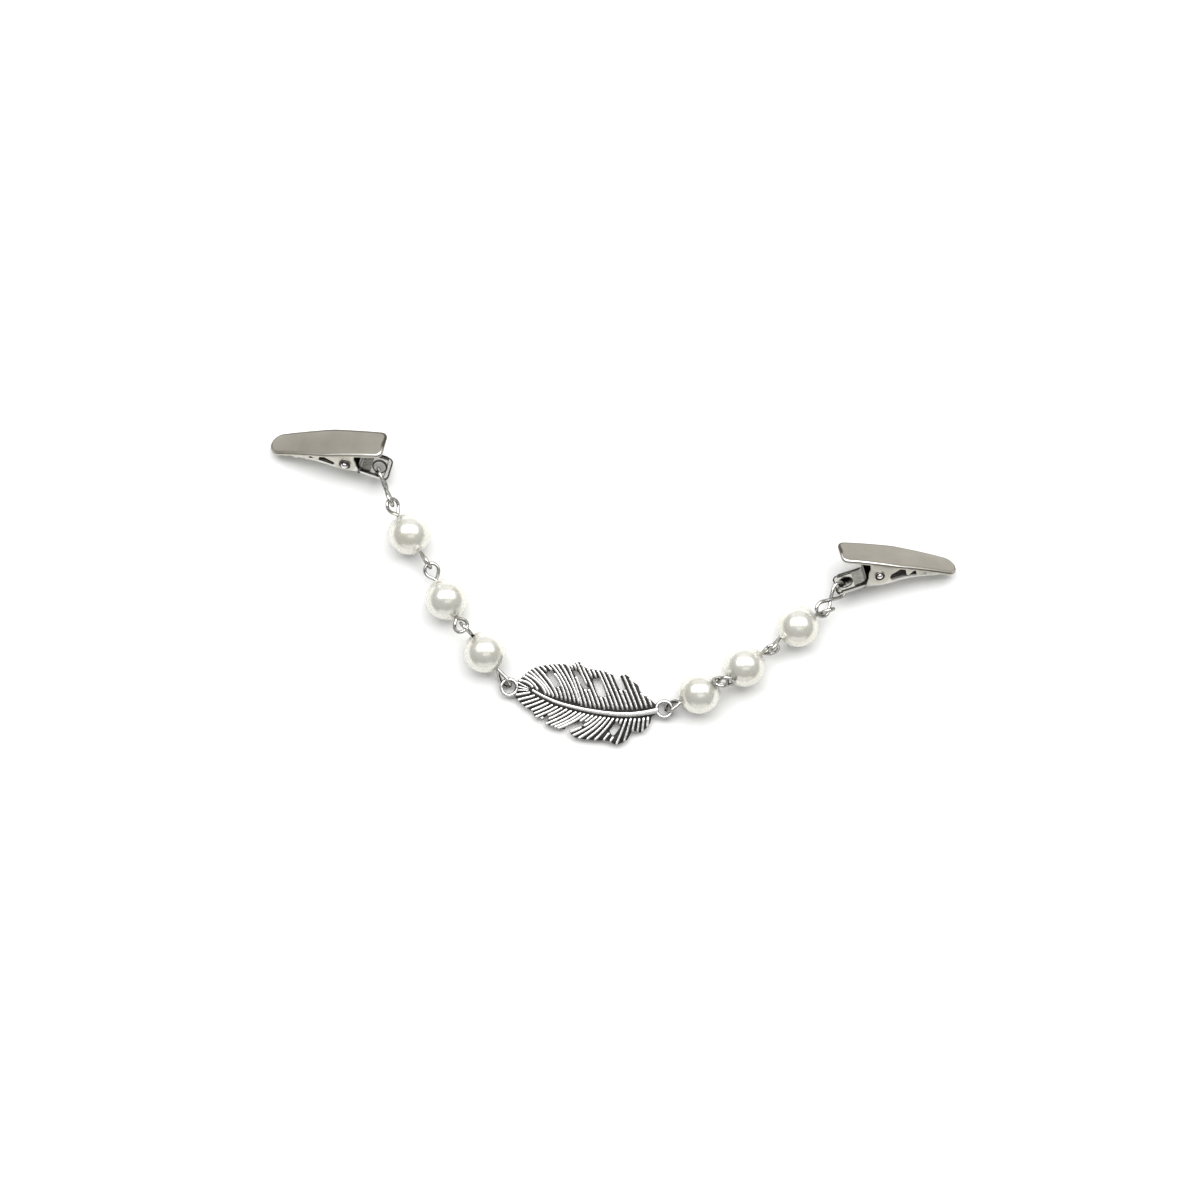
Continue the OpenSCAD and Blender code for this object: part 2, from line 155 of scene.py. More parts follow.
world = bpy.data.worlds.new("studio")
world.use_nodes = True
bpy.context.scene.world = world
tree = world.node_tree
tree.nodes.clear()
room = tree.nodes.new("ShaderNodeBackground")
room.inputs["Color"].default_value = (0.97, 0.98, 0.95, 1)
room.inputs["Strength"].default_value = 0.26
world_output = tree.nodes.new("ShaderNodeOutputWorld")
tree.links.new(room.outputs["Background"], world_output.inputs["Surface"])


def soft_box(name, place, aim, size, power):
    """A white rectangular soft box at place, aimed at a point; metres and watts."""
    data = bpy.data.lights.new(name, "AREA")
    data.shape = "RECTANGLE"
    data.size, data.size_y = size
    data.energy = power
    box = linked(name, data)
    box.location = place
    box.rotation_euler = (Vector(aim) - Vector(place)).to_track_quat("-Z", "Y").to_euler()
    box.visible_camera = False


soft_box("ceiling_box", (0.1, 0.58, 1.0), (0.1, 0.58, 0), (2.0, 0.84), 27)
soft_box("front_strip", (0.2, -0.26, 1.0), (0.2, -0.26, 0), (0.7, 0.18), 0.4)
soft_box("back_wall", (0, 2.2, 0.75), (0, 0, 0.3), (3.0, 1.0), 4.5)
soft_box("front_wall", (0, -2.2, 0.5), (0, 0, 0.15), (3.0, 0.9), 6)


# Pearls: six round glass pearls of 8 mm with a cream pearl coat, drilled right through.
# The rim of each hole is slightly rounded, and a wire goes through it.
def new_piece(name, verts, faces, material):
    """A mesh object at the origin; verts are millimetres in the row frame."""
    mesh = bpy.data.meshes.new(name)
    mesh.from_pydata([tuple(c * MM for c in v) for v in verts], [], faces)
    mesh.materials.append(material)
    mesh.shade_smooth()
    return linked(name, mesh)


def turned(heading, rise, roll=0.0):
    """Matrix that turns the x axis to a heading and a rise, rolled about itself; degrees."""
    return (Matrix.Rotation(math.radians(heading), 4, "Z")
            @ Matrix.Rotation(math.radians(-rise), 4, "Y")
            @ Matrix.Rotation(math.radians(roll), 4, "X"))


def grid_faces(columns, rows, meet=True, closed=True):
    """Quads of a grid of verts listed by column; the last column may meet the first one."""
    faces = []
    for i in range(columns if meet else columns - 1):
        here, there = i * rows, (i + 1) % columns * rows
        for j in range(rows if closed else rows - 1):
            k = (j + 1) % rows
            faces.append((here + j, here + k, there + k, there + j))
    return faces


def revolved(profile, turns):
    """Verts and faces of a closed ring profile of (along, radius) about the x axis."""
    verts = []
    for i in range(turns):
        a = 2 * math.pi * i / turns
        verts += [Vector((x, r * math.cos(a), r * math.sin(a))) for x, r in profile]
    return verts, grid_faces(turns, len(profile))


pearl_coat, tree, shader = new_material("pearl_coat")
CREAMS = [(0.3, (0.75, 0.72, 0.64)), (0.5, (0.78, 0.765, 0.70)), (0.7, (0.80, 0.79, 0.74))]
finish(tree, shader, 0.58, ramp(tree, noise(tree, 260, detail=2.0), CREAMS),
       spread(tree, noise(tree, 900), 0.22, 0.3), noise(tree, 560, detail=1.5), 0.03, 0.25)
shader.inputs["Subsurface Weight"].default_value = 0.15
shader.inputs["Subsurface Scale"].default_value = 0.0012
shader.inputs["Subsurface Radius"].default_value = (1.0, 0.9, 0.75)
shader.inputs["Specular IOR Level"].default_value = 0.5
shader.inputs["Specular Tint"].default_value = (0.8, 0.79, 0.75, 1)
shader.inputs["Coat Weight"].default_value = 0.6
shader.inputs["Coat Roughness"].default_value = 0.04
shader.inputs["Coat IOR"].default_value = 1.7
shader.inputs["Sheen Weight"].default_value = 0.1

PEARL_R = 4
BORE_R = 0.5
NECK = 2.3
LONG_NECK = 3.2
LEFT_RING = Vector((-19.85, -18.9))
CHARM_SPAN = 29.75
CHARM_TURN = -8
RIGHT_RING = LEFT_RING + CHARM_SPAN * Vector((
    math.cos(math.radians(CHARM_TURN)), math.sin(math.radians(CHARM_TURN))))
# For each pearl out from the charm: heading and length in necks of the gap to it, heading and
# rise of its hole, then heading, rise, roll and neck of its inner and its outer eye.
LEFT_PEARLS = [
    ((122.5, 1.913), (126, 19), (-59, -22, 58, LONG_NECK), (132, 32, 96, NECK)),
    ((132.5, 2.087), (118, -15), (-58, 32, 4, NECK), (116, 4, 1, NECK)),
    ((119.5, 2.783), (121, 8), (-58, 0, 81, NECK), (119, 18, 36, NECK)),
]
RIGHT_PEARLS = [
    ((23, 1.565), (28, 22), (-157, -25, 61, NECK), (16, 33, 50, NECK)),
    ((29, 1.043), (35, -15), (-151, 46, 38, NECK), (23, 7, 54, NECK)),
    ((41.5, 2.109), (32, -3), (-126, 1, 84, NECK), (19, 15, 85, NECK)),
]


def pearl_middles(ring, rows):
    """Middles of the pearls, walked from a ring of the charm over the gaps and pearls."""
    middles = []
    place = Vector((ring.x, ring.y, 0))
    for gap, bore, _, _ in rows:
        through = turned(*bore) @ Vector((PEARL_R, 0, 0))
        through.z = 0
        place = place + turned(gap[0], 0) @ Vector((gap[1] * NECK, 0, 0)) + through
        middles.append(Vector((place.x, place.y, PEARL_R)))
        place = place + through
    return middles


BEADS = []
for ring, rows, numbers in (
        (LEFT_RING, LEFT_PEARLS, (3, 2, 1)), (RIGHT_RING, RIGHT_PEARLS, (4, 5, 6))):
    for middle, row, number in zip(pearl_middles(ring, rows), rows, numbers):
        BEADS.append((number, middle, row))

HOLE_ROUND = 0.14
PEARL_RINGS = 44
PEARL_TURNS = 64
pole = math.asin((BORE_R + HOLE_ROUND) / PEARL_R)
pearl_profile = [
    (PEARL_R * math.cos(a), PEARL_R * math.sin(a))
    for a in [pole + (math.pi - 2 * pole) * i / PEARL_RINGS for i in range(PEARL_RINGS + 1)]]
hole_end = pearl_profile[0][0]
for side in (-1, 1):
    lip = [(side * (hole_end + HOLE_ROUND * (0.3 * math.cos(t) - 0.3 - 0.5 * math.sin(t))),
            BORE_R + HOLE_ROUND * (1 - math.sin(t))) for t in (0.5, 1.0, 1.57)]
    pearl_profile += lip if side < 0 else lip[::-1]
for number, middle, row in BEADS:
    verts, faces = revolved(pearl_profile, PEARL_TURNS)
    place = Matrix.Translation(middle) @ turned(*row[1])
    pearl = new_piece(f"round_pearl_{number}", [place @ v for v in verts], faces, pearl_coat)
    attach(pearl, "chain")
    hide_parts(f"pearl_{number}")


# Eye pins: one bright plated wire through each pearl, bent into a closed eye at either end.
# The eyes hang in one another and in the charm's rings; nothing is soldered.
def wire_tree():
    """Node tree that sweeps a section along an object's edges; the width attribute scales it."""
    group = bpy.data.node_groups.new("swept_wire", "GeometryNodeTree")
    for name, kind in (
            ("Geometry", "Geometry"), ("Wire Width", "Float"), ("Wire Height", "Float"),
            ("Corner", "Float"), ("Corner Steps", "Int"), ("Upright", "Bool"),
            ("Material", "Material")):
        group.interface.new_socket(name, in_out="INPUT", socket_type="NodeSocket" + kind)
    group.interface.new_socket("Geometry", in_out="OUTPUT", socket_type="NodeSocketGeometry")
    nodes = group.nodes
    start = nodes.new("NodeGroupInput")
    end = nodes.new("NodeGroupOutput")
    to_curve = nodes.new("GeometryNodeMeshToCurve")
    width = nodes.new("GeometryNodeInputNamedAttribute")
    width.data_type = "FLOAT"
    width.inputs["Name"].default_value = "width"
    free = nodes.new("GeometryNodeSetCurveNormal")
    free.mode = "MINIMUM_TWIST"
    upright = nodes.new("GeometryNodeSetCurveNormal")
    upright.mode = "Z_UP"
    choice = nodes.new("GeometryNodeSwitch")
    choice.input_type = "GEOMETRY"
    section = nodes.new("GeometryNodeCurvePrimitiveQuadrilateral")
    round_off = nodes.new("GeometryNodeFilletCurve")
    round_off.mode = "POLY"
    sweep = nodes.new("GeometryNodeCurveToMesh")
    sweep.inputs["Fill Caps"].default_value = True
    smooth = nodes.new("GeometryNodeSetShadeSmooth")
    realize = nodes.new("GeometryNodeRealizeInstances")
    paint = nodes.new("GeometryNodeSetMaterial")
    for giver, output, taker, socket in (
            (start, "Geometry", to_curve, "Mesh"),
            (to_curve, "Curve", free, "Curve"), (free, "Curve", choice, "False"),
            (to_curve, "Curve", upright, "Curve"), (upright, "Curve", choice, "True"),
            (start, "Upright", choice, "Switch"),
            (start, "Wire Width", section, "Width"), (start, "Wire Height", section, "Height"),
            (section, "Curve", round_off, "Curve"),
            (start, "Corner Steps", round_off, "Count"), (start, "Corner", round_off, "Radius"),
            (choice, "Output", sweep, "Curve"), (round_off, "Curve", sweep, "Profile Curve"),
            (width, "Attribute", sweep, "Scale"),
            (sweep, "Mesh", smooth, "Geometry"), (smooth, "Geometry", realize, "Geometry"),
            (realize, "Geometry", paint, "Geometry"), (start, "Material", paint, "Material"),
            (paint, "Geometry", end, "Geometry")):
        group.links.new(giver.outputs[output], taker.inputs[socket])
    return group


SWEPT_WIRE = wire_tree()


def applied(piece):
    """Mesh of a piece with its modifiers applied."""
    depsgraph = bpy.context.evaluated_depsgraph_get()
    return bpy.data.meshes.new_from_object(piece.evaluated_get(depsgraph))


def swept(name, lines, material, width, height=None, corner=None, steps=4, upright=False):
    """Wires swept along lines, each a list of (point, width factor); a plain mesh object."""
    verts, edges, factors = [], [], []
    for line in lines:
        first = len(verts)
        verts += [tuple(c * MM for c in point) for point, _ in line]
        factors += [w for _, w in line]
        edges += [(i, i + 1) for i in range(first, len(verts) - 1)]
    path = bpy.data.meshes.new(name + "_path")
    path.from_pydata(verts, edges, [])
    path.attributes.new("width", "FLOAT", "POINT").data.foreach_set("value", factors)
    piece = linked(name, path)
    modifier = piece.modifiers.new("sweep", "NODES")
    modifier.node_group = SWEPT_WIRE
    values = {
        "Wire Width": width * MM, "Wire Height": (height or width) * MM, "Corner Steps": steps,
        "Corner": (corner or width * 0.49) * MM, "Upright": upright, "Material": material}
    for item in SWEPT_WIRE.interface.items_tree:
        if item.in_out == "INPUT" and item.name in values:
            modifier[item.identifier] = values[item.name]
    mesh = applied(piece)
    piece.modifiers.remove(modifier)
    piece.data = mesh
    mesh.name = name
    bpy.data.meshes.remove(path)
    return piece


def eased(points, spacing=0.22, passes=5):
    """Points spaced evenly along a line, with its corners eased as a bent wire's are."""
    run = [points[0]]
    ahead = spacing
    for a, b in zip(points, points[1:]):
        length = (b - a).length
        while ahead <= length:
            run.append(a.lerp(b, ahead / length))
            ahead += spacing
        ahead -= length
    if (run[-1] - points[-1]).length < spacing / 2:
        run.pop()
    run.append(points[-1])
    for _ in range(passes):
        inner = [(a + p * 2 + b) / 4 for a, p, b in zip(run, run[1:], run[2:])]
        run = [run[0]] + inner + [run[-1]]
    return run


def rounded_tips(points, radius):
    """(point, width factor) pairs for a wire whose two cut ends are rounded over."""
    ends = []
    for end, inner in ((points[0], points[1]), (points[-1], points[-2])):
        inward = (inner - end).normalized() * radius
        ends.append([(end + inward * (1 - math.cos(a)), max(0.15, math.sin(a)))
                     for a in (0.1, 0.5, 0.9, 1.3)])
    return ends[0] + [(p, 1.0) for p in points[1:-1]] + ends[1][::-1]


def side_shade_and_oxide(tree, bright, dark, low=0.35, high=0.8):
    """bright on top, dark on the sides and below: painted shade, on cast silver also oxide."""
    facing = tree.nodes.new("ShaderNodeTexCoord")
    parts = tree.nodes.new("ShaderNodeSeparateXYZ")
    tree.links.new(facing.outputs["Normal"], parts.inputs["Vector"])
    amount = tree.nodes.new("ShaderNodeMapRange")
    amount.inputs["From Min"].default_value = low
    amount.inputs["From Max"].default_value = high
    tree.links.new(parts.outputs["Z"], amount.inputs["Value"])
    mix = tree.nodes.new("ShaderNodeMix")
    mix.data_type = "RGBA"
    tree.links.new(amount.outputs["Result"], mix.inputs["Factor"])
    tree.links.new(dark, mix.inputs["A"])
    tree.links.new(bright, mix.inputs["B"])
    return mix.outputs["Result"]


plated_wire, tree, shader = new_material("plated_wire")
wear = noise(tree, 900)
bright = ramp(tree, wear, [(0.3, (0.52, 0.51, 0.475)), (0.6, (0.74, 0.73, 0.69))])
# dark: painted shade on the wire's sides and underside; the plating is bright all round.
dark = ramp(tree, wear, [(0.3, (0.07, 0.068, 0.06)), (0.7, (0.15, 0.145, 0.13))])
finish(tree, shader, 1.0, side_shade_and_oxide(tree, bright, dark),
       spread(tree, noise(tree, 2600, stretch=(1, 1, 0.3)), 0.12, 0.26),
       noise(tree, 5000, detail=4.0), 0.01, 0.35)

PIN_WIRE = 0.65
EYE_R = 1.35
STUB = 0.25
LOOP_STEPS = 22


def drop_points(reach, radius):
    """Middle line of a wire bent to a drop in the xy plane, out on one side, back on the other."""
    half = math.asin(radius / reach)
    straight = math.sqrt(reach ** 2 - radius ** 2)
    out = [Vector((straight * i / 4 * math.cos(half), straight * i / 4 * math.sin(half), 0))
           for i in (1, 2, 3)]
    loop = []
    for i in range(LOOP_STEPS + 1):
        a = math.pi / 2 + half - (math.pi + 2 * half) * i / LOOP_STEPS
        loop.append(Vector((reach + radius * math.cos(a), radius * math.sin(a), 0)))
    back = [Vector((p.x, -p.y, 0)) for p in reversed(out)]
    return [Vector((0, 0, 0))] + out + loop + back


def eye_points(exit_point, aim):
    """Wire of one eye from the hole outward, and back until its cut end lies by the neck."""
    heading, rise, roll, neck = aim
    stub = Matrix.Translation((STUB, 0, 0))
    place = Matrix.Translation(exit_point) @ turned(heading, rise, roll) @ stub
    points = [place @ p for p in drop_points(neck - STUB, EYE_R)]
    points[0] = exit_point.lerp(points[0], 0.6)
    tail = points[-1].lerp(place @ Vector((0, 0, 0)), 0.75)
    return points + [tail]


for number, middle, row in BEADS:
    through = turned(*row[1]) @ Vector((PEARL_R, 0, 0))
    inner = eye_points(middle - through, row[2])
    outer = eye_points(middle + through, row[3])
    bore_line = [middle - through * s for s in (0.97, 0.6, 0.2, -0.2, -0.6, -0.97)]
    line = rounded_tips(eased(inner[::-1] + bore_line + outer), PIN_WIRE / 4)
    pin = swept(f"bent_eye_pin_{number}", [line], plated_wire, PIN_WIRE)
    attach(pin, "chain")
    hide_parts(f"eye_pin_{number}")


# Links: a figure eight of the same bright wire joins the last eye to the hole in each tail.
# The wire passes over itself in the middle, where its cut ends lie pressed together.
LINK_WIRE = 0.7
LINK_R = 1.45
LINK_L = 8.75
CROSSING = 0.2
CUT_END = 0.06


def step(heading, rise, length):
    """Vector of a length along a heading and a rise."""
    return turned(heading, rise) @ Vector((length, 0, 0))


def last_eye(side_beads):
    """Middle of the outer eye of the outermost pearl."""
    _, middle, (_, bore, _, (heading, rise, _, neck)) = side_beads[-1]
    return middle + step(*bore, PEARL_R) + step(heading, rise, neck)


# Out from the last eye: a step to the middle of the link, and one to the hole in the tail.
LEFT_LINK_AT = last_eye(BEADS[:3]) + step(111.289, -9.981, 3.851)
RIGHT_LINK_AT = last_eye(BEADS[3:]) + step(71.307, 5.302, 2.317)
LEFT_HOLE_AT = LEFT_LINK_AT + step(107.312, -20.777, 4.313)
RIGHT_HOLE_AT = RIGHT_LINK_AT + step(47.862, -14.896, 4.396)
for side, place, turn in (
        ("left", LEFT_LINK_AT, (111, -22, 85)), ("right", RIGHT_LINK_AT, (48, -18, 26))):
    half_loop = drop_points(LINK_L / 2 - LINK_R - LINK_WIRE / 2, LINK_R)[1:]
    line = half_loop + [Vector((0, 0, 0))] + [Vector((-p.x, p.y, p.z)) for p in half_loop]
    count = len(half_loop)
    for i, p in enumerate(line):
        over = 1 if count - 4 < i < count + 5 else -1
        p.z += over * CROSSING * math.exp(-(p.x ** 2 + p.y ** 2) / 0.8)
    end = Vector((0, 0, -CROSSING))
    line = [end] + line + [end.copy()]
    pose = Matrix.Translation(place) @ turned(*turn)
    line = eased([pose @ p for p in line])
    link = swept(f"eight_link_{side}", [rounded_tips(line, CUT_END)], plated_wire, LINK_WIRE)
    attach(link, "chain")
    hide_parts(f"{side}_link")


# Feather charm: cast in one piece, a flat feather with a raised quill and barbs, small slots cut
# through between barbs, and a ring at each end. Antique silver finish, black in the hollows.
HUNDREDTH = CHARM_SPAN / 100
CHARM_Z = 0.8
PLATE_T = 0.8
RELIEF = 0.4
# Outline, quill and slots, in hundredths of the charm's length from its left ring.
TIP = [(5, -2.7), (4, 2)]
UPPER_VANE = [
    (5.7, 5.4), (8.4, 8.7), (11.4, 12.4), (15.1, 15.1), (22.9, 17.8), (31.9, 19.5), (36.6, 19.2),
    (41.7, 22.2), (45, 20.2), (47.7, 18.8), (53.8, 18.8), (58.8, 18.5), (64.5, 17.1), (68.6, 16.8),
    (71.6, 18.5), (75, 17.1), (78, 14.5), (81.3, 12.8), (83, 9.4), (85.4, 6.7), (88.1, 6.4),
    (92.4, 3.4), (94.8, 1.3)]
LOWER_VANE = [
    (95.5, -3.4), (92.8, -6.1), (92.1, -10.8), (87.4, -16.8), (82.4, -16.5), (80.7, -19.5),
    (79, -23.2), (75.6, -25.5), (72.3, -26.9), (67.2, -25.2), (60.2, -25.9), (52.4, -26.2),
    (46.1, -25.9), (43.7, -24.5), (40.3, -21.5), (35.3, -22.2), (30.6, -20.8), (25.5, -19.8),
    (21.8, -16.5), (18.8, -16.5), (16.5, -12.8), (12.4, -11.4), (8.4, -8.7), (4.7, -5.7)]
QUILL = [
    (14.8, 0.3), (22.5, -2.7), (32.3, -5.4), (45.7, -7.1), (59.8, -7.7), (73.3, -7.1), (84.7, -5),
    (96.1, -1.3)]
# Slots: middle, heading, length and width.
SLOTS = [
    ((27.2, 9.1), 128, 11.8, 4.4), ((44.7, 10.8), 130, 15.5, 2.7), ((57.1, 7.7), 118, 13.4, 5),
    ((69.2, 13.1), 122, 12.1, 3.7), ((70.6, -16.8), 62, 8.7, 4), ((45, -18.8), 28, 14.1, 3.4),
    ((24.9, -18.5), 52, 8.1, 3)]
charm_place = Matrix.Translation((*LEFT_RING, CHARM_Z)) @ turned(CHARM_TURN, 0)


def rounded_line(points, spacing, closed=True):
    """A smooth line through points, resampled about every spacing millimetres."""
    pts = [Vector(p) for p in points]
    n = len(pts)
    out = []
    for i in range(n if closed else n - 1):
        p0, p1, p2, p3 = (
            pts[j % n] if closed else pts[min(max(j, 0), n - 1)] for j in range(i - 1, i + 3))
        count = max(1, round((p2 - p1).length / spacing))
        for k in range(count):
            t = k / count
            out.append(0.5 * (2 * p1 + (p2 - p0) * t + (2 * p0 - 5 * p1 + 4 * p2 - p3) * t * t
                              + (3 * p1 - p0 - 3 * p2 + p3) * t ** 3))
    if not closed:
        out.append(pts[-1])
    return out


def inside(point, loop):
    """Whether a point in the plan is inside a closed loop."""
    hit = False
    for a, b in zip(loop, loop[1:] + loop[:1]):
        if (a.y > point.y) != (b.y > point.y):
            if point.x < (b.x - a.x) * (point.y - a.y) / (b.y - a.y) + a.x:
                hit = not hit
    return hit


def slot_loop(slot, grow):
    """Corners of a slot: a long opening between barbs whose ends are cut askew."""
    (mx, my), heading, length, width = slot
    turn = Matrix.Rotation(math.radians(heading), 2)
    hl, hw = length * HUNDREDTH / 2 + grow, width * HUNDREDTH / 2 + grow
    shape = [(-1, -0.7), (-0.8, -1), (0.72, -1), (0.9, -0.3), (1, 0.75), (0.85, 1), (-0.66, 1),
             (-0.9, 0.35)]
    return [turn @ Vector((x * hl, y * hw)) + Vector((mx, my)) * HUNDREDTH for x, y in shape]


feather_loop = rounded_line([Vector(p) * HUNDREDTH for p in TIP + UPPER_VANE + LOWER_VANE], 0.22)
quill_line = rounded_line([Vector(p) * HUNDREDTH for p in QUILL], 0.3, closed=False)


def prism(name, loop, low, high):
    """A closed upright prism on a loop of plan points, placed with the charm."""
    work = bmesh.new()
    floor = work.faces.new([work.verts.new(charm_place @ Vector((p.x, p.y, low))) for p in loop])
    lid = bmesh.ops.extrude_face_region(work, geom=[floor])
    lifted = [v for v in lid["geom"] if isinstance(v, bmesh.types.BMVert)]
    bmesh.ops.translate(work, vec=(0, 0, high - low), verts=lifted)
    bmesh.ops.recalc_face_normals(work, faces=work.faces)
    work.transform(Matrix.Scale(MM, 4))
    mesh = bpy.data.meshes.new(name)
    work.to_mesh(mesh)
    work.free()
    return linked(name, mesh)


def rounded_edges(piece, name, width, angle):
    """Rounds the edges sharper than an angle over a width."""
    rounding = piece.modifiers.new(name, "BEVEL")
    rounding.width = width * MM
    rounding.segments = 2
    rounding.limit_method = "ANGLE"
    rounding.angle_limit = math.radians(angle)


RIM_ROUND = 0.11
charm = prism("cast_feather", feather_loop, 0, PLATE_T)
cutters = [prism(f"slot_{i}", rounded_line(slot_loop(s, 0), 0.3), -1, PLATE_T + 1)
           for i, s in enumerate(SLOTS)]
for cutter in cutters:
    cut = charm.modifiers.new("cut", "BOOLEAN")
    cut.object = cutter
    cut.operation = "DIFFERENCE"
    cut.solver = "EXACT"
rounded_edges(charm, "rim", RIM_ROUND, 50)
charm_mesh = applied(charm)
charm.modifiers.clear()
charm.data = charm_mesh
for cutter in cutters:
    bpy.data.objects.remove(cutter)

antique_silver, tree, shader = new_material("antique_silver")
stain = noise(tree, 1100, detail=5.0, rough=0.7)
SILVERS = [(0.28, (0.48, 0.47, 0.45)), (0.42, (0.76, 0.75, 0.73)), (0.6, (0.88, 0.875, 0.86))]
bright = ramp(tree, stain, SILVERS)
# dark: black oxide of the hollows between barbs, and painted shade on sides and undersides.
dark = ramp(tree, stain, [(0.3, (0.012, 0.012, 0.011)), (0.7, (0.07, 0.068, 0.062))])
finish(tree, shader, 1.0, side_shade_and_oxide(tree, bright, dark, 0.3, 0.85),
       spread(tree, noise(tree, 3000), 0.2, 0.38), noise(tree, 4000, detail=4.0), 0.02, 0.5)
rubbed_rim, tree, shader = new_material("rubbed_rim")
RUBBED = [(0.3, (0.38, 0.37, 0.35)), (0.6, (0.66, 0.65, 0.62))]
finish(tree, shader, 1.0, ramp(tree, noise(tree, 1300, detail=5.0), RUBBED),
       spread(tree, noise(tree, 2800), 0.28, 0.45), noise(tree, 4000, detail=4.0), 0.02, 0.5)
oxide_black, tree, shader = new_material("oxide_black")
OXIDE = [(0.35, (0.006, 0.006, 0.006)), (0.7, (0.03, 0.028, 0.026))]
finish(tree, shader, 0.4, ramp(tree, noise(tree, 1500), OXIDE), 0.55, noise(tree, 3500), 0.02, 0.6)

BARB_W = 0.5
BARB_CORNER = 0.12
QUILL_W = 1.0
QUILL_GROOVE = 0.17
# Guides of the upper barbs toward the tip: where each leaves the quill, passes and meets the edge,
# in hundredths, and the number of barbs from it up to the next guide.
UPPER_GUIDES = [
    ((15.2, 1.8), (10.4, 4.9), (4.8, 5.0), 1), ((18.6, 0.3), (14.4, 4.9), (7.9, 8.4), 1),
    ((24.0, -1.3), (18.2, 5.5), (9.6, 10.1), 2), ((28.9, -2.4), (23.8, 4.5), (13.2, 13.8), 3),
    ((37.2, -3.5), (31.5, 7.9), (22.7, 16.6), 2), ((43.0, -3.9), (36.8, 7.5), (27.7, 18.4), 2),
    ((48.3, -4.3), (42.0, 7.6), (34.6, 19.1), 0)]
# Heading of the other barbs where they leave the quill, and how much they bend on the way out, at
# places in hundredths along the charm.
UPPER_AIM = [(48, 109.5), (56, 112), (75, 115), (95, 118)]
UPPER_BEND = [(48, 3), (60, 3), (75, 2), (95, 1)]
LOWER_AIM = [
    (16, 197), (20, 205), (25, 213), (30, 220), (45, 232), (60, 245), (70, 254), (78, 263),
    (85, 272), (95, 277)]
LOWER_BEND = [(16, 0), (30, -4), (45, -7), (60, -11), (70, -7), (78, -2), (95, 0)]
# The groups of those barbs: first barb, pitch, number of barbs, heading and bend.
MARCHES = [
    (48.3, 3.0, 16, UPPER_AIM, UPPER_BEND), (16.6, 3.0, 11, LOWER_AIM, LOWER_BEND),
    (49.3, 2.55, 18, LOWER_AIM, LOWER_BEND)]
BARB_STEP = 0.2
rng = random.Random(7)


def along(table, x):
    """Value at x of a table of (place, value), between its rows."""
    return float(np.interp(x, *zip(*table)))


def quill_at(h):
    """Point of the quill's middle line at h hundredths along the charm."""
    return Vector((h, along(QUILL, h))) * HUNDREDTH


def quill_factor(h):
    """How thick the quill is at h, as a share of its width."""
    return 0.55 + 0.55 * (h - 14.8) / 81.3


def marched(h, aim, bend, reach=12.0):
    """Line of a barb from the quill out past the edge, by its heading and its bend."""
    line, heading = [quill_at(h)], aim
    for i in range(round(reach / BARB_STEP)):
        line.append(line[-1] + step(heading, 0, BARB_STEP).to_2d())
        heading += bend * BARB_STEP * math.exp(-i * BARB_STEP / 4)
    return line


def guided(guide, other, share):
    """Line of a barb that lies between two guides."""
    root, middle, edge = (
        Vector(a).lerp(Vector(b), share) * HUNDREDTH for a, b in zip(guide[:3], other[:3]))
    pull = 2 * middle - (root + edge) / 2
    return [root * (1 - t) ** 2 + pull * 2 * t * (1 - t) + edge * t * t
            for t in np.linspace(0, 1.15, 56)]


def barb_runs(line, clear=None):
    """Stretches of a barb's line that lie on the plate, clear of the quill."""
    clear = clear or QUILL_W * quill_factor(line[0].x / HUNDREDTH) / 2 + QUILL_GROOVE
    runs, run = [], []
    for p in line:
        on_plate = inside(p, feather_loop)
        if (on_plate and min((p - q).length for q in quill_line) > clear
                and not any(inside(p, hole) for hole in slot_holes)):
            run.append(p)
        elif run:
            runs.append(run)
            run = []
        if not on_plate and runs and (p - line[0]).length > 2:
            break
    return [r for r in runs + [run] if len(r) > 3]


def barb_line(run, thick, root=0.7):
    """(point, width factor) pairs of a barb that swells from its root and has a rounded tip."""
    way = (run[-1] - run[-2]).normalized()
    tip = [run[-1] + way * d for d in (0.06, 0.13, 0.17)]
    points = [(p, min(1.0, root + i * 0.12)) for i, p in enumerate(run)]
    points += list(zip(tip, (0.92, 0.72, 0.4)))
    points[0] = (points[0][0], root * 0.75)
    return [(charm_place @ Vector((p.x, p.y, PLATE_T)), thick * w) for p, w in points]


slot_holes = [slot_loop(s, 0.04) for s in SLOTS]
barb_paths = [guided(guide, other, i / guide[3])
              for guide, other in zip(UPPER_GUIDES, UPPER_GUIDES[1:]) for i in range(guide[3])]
for first, pitch, count, aims, bends in MARCHES:
    for i in range(count):
        h = first + pitch * i + rng.uniform(-0.12, 0.12)
        barb_paths.append(marched(h, along(aims, h), along(bends, h)))
barb_lines = [
    barb_line(run, rng.uniform(0.92, 1.06)) for path in barb_paths for run in barb_runs(path)]
# The fan at the tip: fine barbs that start round the quill's end.
for aim in (160, 174, 187):
    for run in barb_runs(marched(15.2, aim, 0), clear=0.6):
        barb_lines.append(barb_line(run, 0.6, 0.5))
barbs = swept(
    "barbs", barb_lines, antique_silver, BARB_W, 2 * RELIEF, BARB_CORNER, 2, upright=True)
quill_path = [
    (charm_place @ p.to_3d() + Vector((0, 0, PLATE_T)), quill_factor(p.x / HUNDREDTH))
    for p in quill_line]
quill = swept("quill", [quill_path], antique_silver, QUILL_W, 2 * (RELIEF + 0.02), 0.28, 3,
              upright=True)

